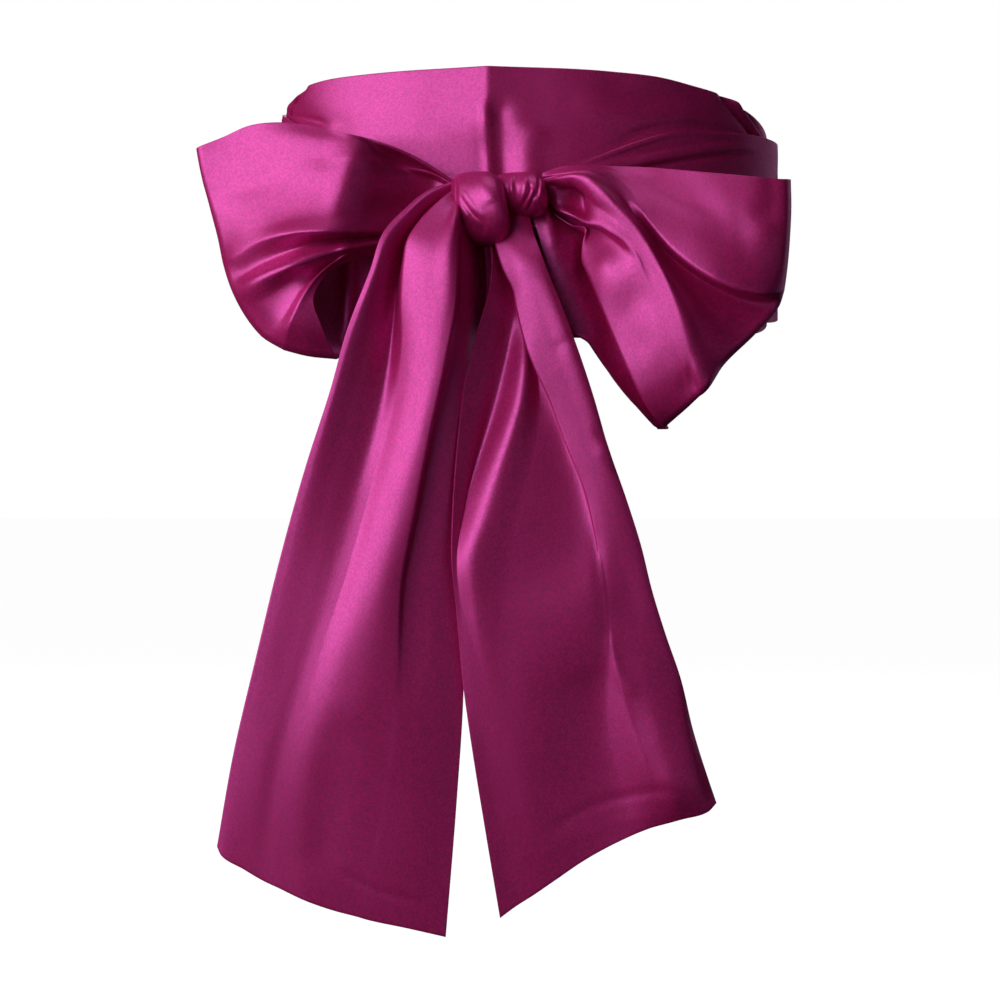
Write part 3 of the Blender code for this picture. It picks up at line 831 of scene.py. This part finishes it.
def knot_points(hump, columns, rows):
    """A short turn of cloth round the knot, from end to end and all the way round."""
    across = np.linspace(-KNOT_END, KNOT_END, columns)[None, :]
    turn = np.linspace(0, 2 * np.pi, rows)[:, None]
    radial = (1 - np.abs(across) ** KNOT_BLUNTNESS) ** (1 / KNOT_BLUNTNESS)
    x = hump["half_x"] * (across + 0 * turn)
    y = hump["half_y"] * (radial * np.cos(turn))
    z = hump["half_z"] * (radial * np.sin(turn))
    points = (hump["x"] + x - KNOT_SLANT * z, y - hump["out"] - KNOT_LEAN * x, hump["z"] + z)
    return np.stack(points, axis=-1)


# Each fold is a name, its height, its width and its line from the front, as x and z.
KNOT_OVER_FOLDS = (
    ("rim line", -0.9, 0.9, ((-39, 9), (-39.2, 0.5), (-38.7, -7.5), (-36.5, -15))),
    ("long crease", -0.8, 0.9, ((-38, -1.6), (-34.6, -6.8), (-30.6, -12.2), (-24.6, -17.6))),
    ("ridge above", 0.5, 1.3, ((-36.8, 1.4), (-32.8, -5.4), (-28.6, -10.8), (-23, -15.6))),
    ("short crease", -0.5, 0.8, ((-36.4, -7), (-33.4, -11.6), (-30.6, -15.2))),
    ("broad band", 0.8, 4, ((-27, 10), (-24, 1), (-20, -9))),
    ("low hollow", -0.9, 3, ((-35, -14), (-29, -19), (-22, -21))),
)
KNOT_UNDER_FOLDS = (
    ("first gather", 0.8, 0.8, ((-10.2, 10.5), (-9.9, 4), (-9.4, -2.5))),
    ("first trough", -0.8, 0.8, ((-7.8, 10.5), (-7.6, 0), (-7.6, -8))),
    ("bright gather", 1.3, 1.6, ((-1.8, 10.5), (-2.6, 3), (-4, -4), (-6.2, -9))),
    ("second trough", -1.1, 0.8, ((0.9, 4), (-0.6, -1.5), (-5.4, -8.4))),
    ("slanting gather", 1, 0.8, ((2.4, 2), (0.4, -3.5), (-4.2, -10.6))),
    ("third trough", -1, 0.8, ((3.4, 0), (1.4, -5), (-1.8, -10.4))),
    ("fourth trough", -0.9, 0.8, ((4.8, 9), (4.4, 0.5), (2.6, -6))),
    ("rim gather", 0.9, 0.8, ((6.6, 8.5), (6.1, 0.5), (4.7, -6))),
)


# ---- satin --------------------------------------------------------------------------------


GRAIN_SCALE = 1300.0
SPECK_SCALE = 1700.0
CLOUD_SCALE = 60.0
THREAD_STRETCH = (1.0, 0.7, 1.0)
CLOUD_DULLING = 0.08
SPECK_GLOSS = -0.12
GRAIN_RELIEF = 0.45
GRAIN_DEPTH = 0.00025


def add_math(group, operation, *sides):
    """A maths node whose inputs are numbers or the outputs of other nodes."""
    node = group.nodes.new("ShaderNodeMath")
    node.operation = operation
    for socket, side in zip(node.inputs, sides):
        if isinstance(side, float):
            socket.default_value = side
        else:
            group.links.new(side, socket)
    return node.outputs[0]


def weave_group():
    """Fine grain of the satin weave: a tint, a roughness and a height that vary over the cloth."""
    group = bpy.data.node_groups.new("Satin weave", "ShaderNodeTree")
    for side, name, kind in (
        ("INPUT", "Cloth colour", "NodeSocketColor"),
        ("INPUT", "Grain", "NodeSocketFloat"),
        ("INPUT", "Roughness", "NodeSocketFloat"),
        ("OUTPUT", "Colour", "NodeSocketColor"),
        ("OUTPUT", "Roughness", "NodeSocketFloat"),
        ("OUTPUT", "Height", "NodeSocketFloat"),
    ):
        group.interface.new_socket(name, in_out=side, socket_type=kind)
    nodes, links = group.nodes, group.links
    inside = nodes.new("NodeGroupInput")
    outside = nodes.new("NodeGroupOutput")
    coords = nodes.new("ShaderNodeTexCoord")
    specks = nodes.new("ShaderNodeTexVoronoi")
    specks.voronoi_dimensions = "2D"
    specks.inputs["Scale"].default_value = SPECK_SCALE
    parts = nodes.new("ShaderNodeSeparateColor")
    threads = nodes.new("ShaderNodeMapping")
    threads.inputs["Scale"].default_value = THREAD_STRETCH
    grain = nodes.new("ShaderNodeTexNoise")
    grain.inputs["Scale"].default_value = GRAIN_SCALE
    grain.inputs["Detail"].default_value = 4.0
    grain.inputs["Roughness"].default_value = 0.8
    cloud = nodes.new("ShaderNodeTexNoise")
    cloud.inputs["Scale"].default_value = CLOUD_SCALE
    cloud.inputs["Detail"].default_value = 3.0
    links.new(coords.outputs["UV"], threads.inputs["Vector"])
    links.new(threads.outputs["Vector"], grain.inputs["Vector"])
    links.new(threads.outputs["Vector"], specks.inputs["Vector"])
    links.new(coords.outputs["UV"], cloud.inputs["Vector"])
    links.new(specks.outputs["Color"], parts.inputs["Color"])
    centred = add_math(group, "SUBTRACT", parts.outputs["Red"], 0.5)
    amount = add_math(group, "MULTIPLY", centred, inside.outputs["Grain"])
    shade = add_math(group, "ADD", amount, 1.0)
    tint = nodes.new("ShaderNodeVectorMath")
    tint.operation = "SCALE"
    links.new(inside.outputs["Cloth colour"], tint.inputs[0])
    links.new(shade, tint.inputs["Scale"])
    links.new(tint.outputs[0], outside.inputs["Colour"])
    smooth = inside.outputs["Roughness"]
    dull = add_math(group, "MULTIPLY_ADD", cloud.outputs["Fac"], CLOUD_DULLING, smooth)
    speckled = add_math(group, "MULTIPLY_ADD", amount, SPECK_GLOSS, dull)
    links.new(speckled, outside.inputs["Roughness"])
    links.new(grain.outputs["Fac"], outside.inputs["Height"])
    return group


def satin(name, settings):
    """Satin: a coloured, broad gloss with a fine grain."""
    material = bpy.data.materials.new(name)
    material.use_nodes = True
    nodes, links = material.node_tree.nodes, material.node_tree.links
    shader = nodes["Principled BSDF"]
    weave = nodes.new("ShaderNodeGroup")
    weave.node_tree = bpy.data.node_groups.get("Satin weave") or weave_group()
    weave.inputs["Cloth colour"].default_value = (*settings.colour, 1.0)
    weave.inputs["Grain"].default_value = settings.grain
    weave.inputs["Roughness"].default_value = settings.roughness
    links.new(weave.outputs["Colour"], shader.inputs["Base Color"])
    links.new(weave.outputs["Roughness"], shader.inputs["Roughness"])
    shader.inputs["IOR"].default_value = settings.gloss
    shader.inputs["Specular IOR Level"].default_value = 1.0
    shader.inputs["Specular Tint"].default_value = (*settings.gloss_colour, 1.0)
    bump = nodes.new("ShaderNodeBump")
    bump.inputs["Strength"].default_value = GRAIN_RELIEF
    bump.inputs["Distance"].default_value = GRAIN_DEPTH
    links.new(weave.outputs["Height"], bump.inputs["Height"])
    links.new(bump.outputs["Normal"], shader.inputs["Normal"])
    return material


# ---- settings -----------------------------------------------------------------------------


class SashSizes(bpy.types.PropertyGroup):
    """Sizes of the cloth that a user would change."""

    thickness: bpy.props.FloatProperty(
        name="Cloth thickness",
        description="Thickness of the sash's two layers of satin",
        default=0.0012,
        min=0.0006,
        max=0.003,
        subtype="DISTANCE",
        unit="LENGTH",
    )
    fineness: bpy.props.FloatProperty(
        name="Fineness",
        description="Share of the full number of grid lines",
        default=1.0,
        min=0.3,
        max=1.2,
        subtype="FACTOR",
    )


class SatinLooks(bpy.types.PropertyGroup):
    """Colour and finish of the satin."""

    colour: bpy.props.FloatVectorProperty(
        name="Cloth colour",
        description="Colour of the satin",
        default=(0.4, 0.009, 0.105),
        min=0.0,
        max=1.0,
        subtype="COLOR",
    )
    gloss_colour: bpy.props.FloatVectorProperty(
        name="Gloss colour",
        description="Colour of the light that the threads throw back",
        default=(1.0, 0.17, 0.68),
        min=0.0,
        max=1.0,
        subtype="COLOR",
    )
    roughness: bpy.props.FloatProperty(
        name="Roughness",
        description="How broad the satin's gloss is",
        default=0.37,
        min=0.0,
        max=1.0,
        subtype="FACTOR",
    )
    gloss: bpy.props.FloatProperty(
        name="Gloss",
        description="Refractive index of the threads, which sets how strong the gloss is",
        default=2.15,
        min=1.0,
        max=3.0,
    )
    grain: bpy.props.FloatProperty(
        name="Grain",
        description="How much the weave's fine grain varies the colour",
        default=0.65,
        min=0.0,
        max=2.0,
    )


class StageLooks(bpy.types.PropertyGroup):
    """The studio's floor, lights and camera."""

    camera_out: bpy.props.FloatProperty(
        name="Camera distance",
        description="Distance of the camera in front of the waist's middle",
        default=1.195,
        min=0.5,
        max=5.0,
        subtype="DISTANCE",
        unit="LENGTH",
    )
    key_power: bpy.props.FloatProperty(
        name="Key light",
        description="Power of the large light at the upper left",
        default=31.0,
        min=0.0,
        max=500.0,
        subtype="POWER",
        unit="POWER",
    )
    top_power: bpy.props.FloatProperty(
        name="Top light",
        description="Power of the light above the sash",
        default=4.0,
        min=0.0,
        max=500.0,
        subtype="POWER",
        unit="POWER",
    )
    rim_power: bpy.props.FloatProperty(
        name="Rim light",
        description="Power of the light behind the sash, at its right",
        default=1.5,
        min=0.0,
        max=500.0,
        subtype="POWER",
        unit="POWER",
    )
    back_power: bpy.props.FloatProperty(
        name="Back light",
        description="Power of the light behind the sash",
        default=15.0,
        min=0.0,
        max=500.0,
        subtype="POWER",
        unit="POWER",
    )
    fill_power: bpy.props.FloatProperty(
        name="Fill light",
        description="Power of the weak light at the right",
        default=0.9,
        min=0.0,
        max=200.0,
        subtype="POWER",
        unit="POWER",
    )


# ---- operators ----------------------------------------------------------------------------


def dress(obj, node, settings):
    """Gives a finished piece its satin and ties it to the frame."""
    obj.data.materials.clear()
    obj.data.materials.append(satin(obj.name + "_satin", settings))
    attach(obj, "root")
    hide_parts(node)
    return obj


def steps(context, count):
    """A number of grid lines at the fineness that is set."""
    return max(round(count * context.scene.sash_sizes.fineness), 4)


def make_sheet(context, name, points, node):
    """A finished piece of cloth from its grid of points, in millimetres."""
    obj = add_grid(name, points, cloth_map(points))
    thicken(obj, context.scene.sash_sizes.thickness)
    return dress(obj, node, context.scene.satin_looks)


class SASH_OT_front_turn(bpy.types.Operator):
    """Add the turn of satin across the front of the waist"""

    bl_idname = "sash.front_turn"
    bl_label = "Front turn"

    def execute(self, context):
        points = panel_points(steps(context, 96), steps(context, 420))
        make_sheet(
            context, "front_turn", points, "front_panel",
        )
        return {"FINISHED"}


class SASH_OT_arms(bpy.types.Operator):
    """Add the two arms that cross at the back and come round to the knot"""

    bl_idname = "sash.arms"
    bl_label = "Arms round the waist"

    def execute(self, context):
        for name, node, edges, folds, side in (
            ("arm_left", "wrap_left", ARM_TO_LEFT_EDGES, ARM_TO_LEFT_FOLDS, 1),
            ("arm_right", "wrap_right", ARM_TO_RIGHT_EDGES, ARM_TO_RIGHT_FOLDS, -1),
        ):
            points = arm_points(edges, folds, side, steps(context, 84), steps(context, 280))
            make_sheet(
                context, name, points, node,
            )
        return {"FINISHED"}


class SASH_OT_loops(bpy.types.Operator):
    """Add the bow's two loops"""

    bl_idname = "sash.loops"
    bl_label = "Bow loops"

    def execute(self, context):
        fine = (steps(context, 160), steps(context, 130), steps(context, 70))
        left = loop_points(LOOP_LEFT_FOLDS, (), LOOP_LEFT_BACK, *fine)
        right = loop_points(LOOP_RIGHT_FOLDS, LOOP_RIGHT_SPREAD, LOOP_RIGHT_BACK, *fine)
        for name, points, creases, length in (
            ("loop_left", left, LOOP_LEFT_CREASES, 0.28),
            ("loop_right", right, LOOP_RIGHT_CREASES, 0.33),
        ):
            points = crease(points, place_creases(creases))
            make_sheet(
                context, name + "_satin", points, name,
            )
        return {"FINISHED"}


class SASH_OT_tails(bpy.types.Operator):
    """Add the two long tails"""

    bl_idname = "sash.tails"
    bl_label = "Tails"

    def execute(self, context):
        for name, folds, creases, length, short_side in (
            ("tail_left", TAIL_LEFT_FOLDS, TAIL_LEFT_CREASES, 0.407, 0.365),
            ("tail_right", TAIL_RIGHT_FOLDS, TAIL_RIGHT_CREASES, 0.34, 0.30),
        ):
            points = tail_points(folds, steps(context, 120), steps(context, 215))
            points = crease(points, place_creases(creases))
            make_sheet(
                context, name + "_satin", points, name,
            )
        return {"FINISHED"}


class SASH_OT_knot(bpy.types.Operator):
    """Add the knot's two turns of cloth"""

    bl_idname = "sash.knot"
    bl_label = "Knot"

    def execute(self, context):
        for name, hump, folds, flat in (
            ("knot_over", KNOT_OVER, KNOT_OVER_FOLDS, (0.04, 0.12)),
            ("knot_under", KNOT_UNDER, KNOT_UNDER_FOLDS, (0.04, 0.08)),
        ):
            points = crease(knot_points(hump, steps(context, 100), steps(context, 140)), folds)
            make_sheet(
                context, name + "_satin", points, name,
            )
        return {"FINISHED"}


FLOOR_Z = -0.452
FLOOR_SIZE = 60.0
LIGHTS = (
    # name, place, what it points at, size
    ("key", (-1.35, -1.05, 0.35), (0, -0.1, -0.1), (2.3, 1.5)),
    ("top", (0.0, -0.25, 1.55), (0, -0.1, -0.1), (1.0, 1.0)),
    ("fill", (0.9, -1.35, -0.45), (0, -0.1, -0.15), (1.6, 1.2)),
    ("back", (0.2, 1.3, 0.9), (0, 0, -0.1), (1.6, 1.2)),
    ("rim", (1.4, 1.0, 0.1), (0, 0, -0.1), (1.2, 1.2)),
)
SENSOR_WIDTH = 36.0
WORLD_COLOUR = (1.0, 0.8, 0.85, 1)
WORLD_LIGHT = 0.012
FLOOR_GLOW = 0.98


class SASH_OT_stage(bpy.types.Operator):
    """Add the pale floor, the studio lights and the camera"""

    bl_idname = "sash.stage"
    bl_label = "Studio stage"

    def execute(self, context):
        looks = context.scene.stage_looks
        bpy.ops.object.select_all(action="DESELECT")
        bpy.ops.mesh.primitive_plane_add(size=FLOOR_SIZE, location=(0, 0, 0))
        floor = context.object
        floor.name = "studio_floor"
        floor.data.transform(Matrix.Translation((0, 0, FLOOR_Z)))
        floor.data.materials.append(floor_material())
        floor.visible_diffuse = False
        floor.visible_glossy = False
        for name, place, target, size in LIGHTS:
            add_area(name + "_light", place, target, size, getattr(looks, name + "_power"))
        add_camera(looks.camera_out)
        paint_world()
        context.scene.view_settings.view_transform = "Standard"
        return {"FINISHED"}


def floor_material():
    material = bpy.data.materials.new("pale_floor")
    material.use_nodes = True
    shader = material.node_tree.nodes["Principled BSDF"]
    shader.inputs["Base Color"].default_value = (0.1, 0.1, 0.1, 1)
    shader.inputs["Roughness"].default_value = 0.9
    shader.inputs["Specular IOR Level"].default_value = 0.0
    shader.inputs["Emission Color"].default_value = (1, 1, 1, 1)
    shader.inputs["Emission Strength"].default_value = FLOOR_GLOW
    return material


def add_area(name, place, target, size, power):
    data = bpy.data.lights.new(name, "AREA")
    data.energy = power
    data.shape = "RECTANGLE"
    data.size, data.size_y = size
    obj = bpy.data.objects.new(name, data)
    bpy.context.scene.collection.objects.link(obj)
    obj.location = place
    obj.visible_camera = False
    aim = obj.location - Vector(target)
    obj.rotation_mode = "QUATERNION"
    obj.rotation_quaternion = aim.to_track_quat("Z", "Y")


def add_camera(distance):
    data = bpy.data.cameras.new("studio_camera")
    data.sensor_width = SENSOR_WIDTH
    data.lens = SENSOR_WIDTH / (2 * VIEW_MIDDLE * VIEW_STEP)
    data.clip_start = 0.01
    obj = bpy.data.objects.new("studio_camera", data)
    bpy.context.scene.collection.objects.link(obj)
    obj.location = (CAMERA_X * MM, -distance, CAMERA_Z * MM)
    obj.rotation_euler = (math.pi / 2, 0, 0)
    bpy.context.scene.camera = obj


def paint_world():
    """White to the camera, and only a little light on the cloth."""
    world = bpy.data.worlds.new("studio")
    bpy.context.scene.world = world
    world.use_nodes = True
    nodes, links = world.node_tree.nodes, world.node_tree.links
    lit = nodes["Background"]
    lit.inputs["Color"].default_value = WORLD_COLOUR
    lit.inputs["Strength"].default_value = WORLD_LIGHT
    seen = nodes.new("ShaderNodeBackground")
    seen.inputs["Color"].default_value = (1, 1, 1, 1)
    seen.inputs["Strength"].default_value = 1.0
    path = nodes.new("ShaderNodeLightPath")
    either = nodes.new("ShaderNodeMixShader")
    links.new(path.outputs["Is Camera Ray"], either.inputs["Fac"])
    links.new(lit.outputs[0], either.inputs[1])
    links.new(seen.outputs[0], either.inputs[2])
    links.new(either.outputs[0], nodes["World Output"].inputs["Surface"])


class SASH_PT_panel(bpy.types.Panel):
    """Lists the sash's sizes, finish and pieces"""

    bl_idname = "SASH_PT_panel"
    bl_label = "Satin sash"
    bl_space_type = "VIEW_3D"
    bl_region_type = "UI"
    bl_category = "Sash"

    def draw(self, context):
        layout = self.layout
        scene = context.scene
        for group in (scene.sash_sizes, scene.satin_looks, scene.stage_looks):
            box = layout.box()
            for name in group.__annotations__:
                box.prop(group, name)
        for operator in OPERATORS:
            layout.operator(operator.bl_idname)


OPERATORS = (
    SASH_OT_front_turn,
    SASH_OT_arms,
    SASH_OT_loops,
    SASH_OT_tails,
    SASH_OT_knot,
    SASH_OT_stage,
)
CLASSES = (SashSizes, SatinLooks, StageLooks, *OPERATORS, SASH_PT_panel)


def register():
    for cls in CLASSES:
        bpy.utils.register_class(cls)
    bpy.types.Scene.sash_sizes = bpy.props.PointerProperty(type=SashSizes)
    bpy.types.Scene.satin_looks = bpy.props.PointerProperty(type=SatinLooks)
    bpy.types.Scene.stage_looks = bpy.props.PointerProperty(type=StageLooks)


def unregister():
    del bpy.types.Scene.stage_looks
    del bpy.types.Scene.satin_looks
    del bpy.types.Scene.sash_sizes
    for cls in reversed(CLASSES):
        bpy.utils.unregister_class(cls)


def main():
    register()
    bpy.ops.sash.front_turn()
    bpy.ops.sash.arms()
    bpy.ops.sash.loops()
    bpy.ops.sash.tails()
    bpy.ops.sash.knot()
    bpy.ops.sash.stage()


if __name__ == "__main__":
    main()
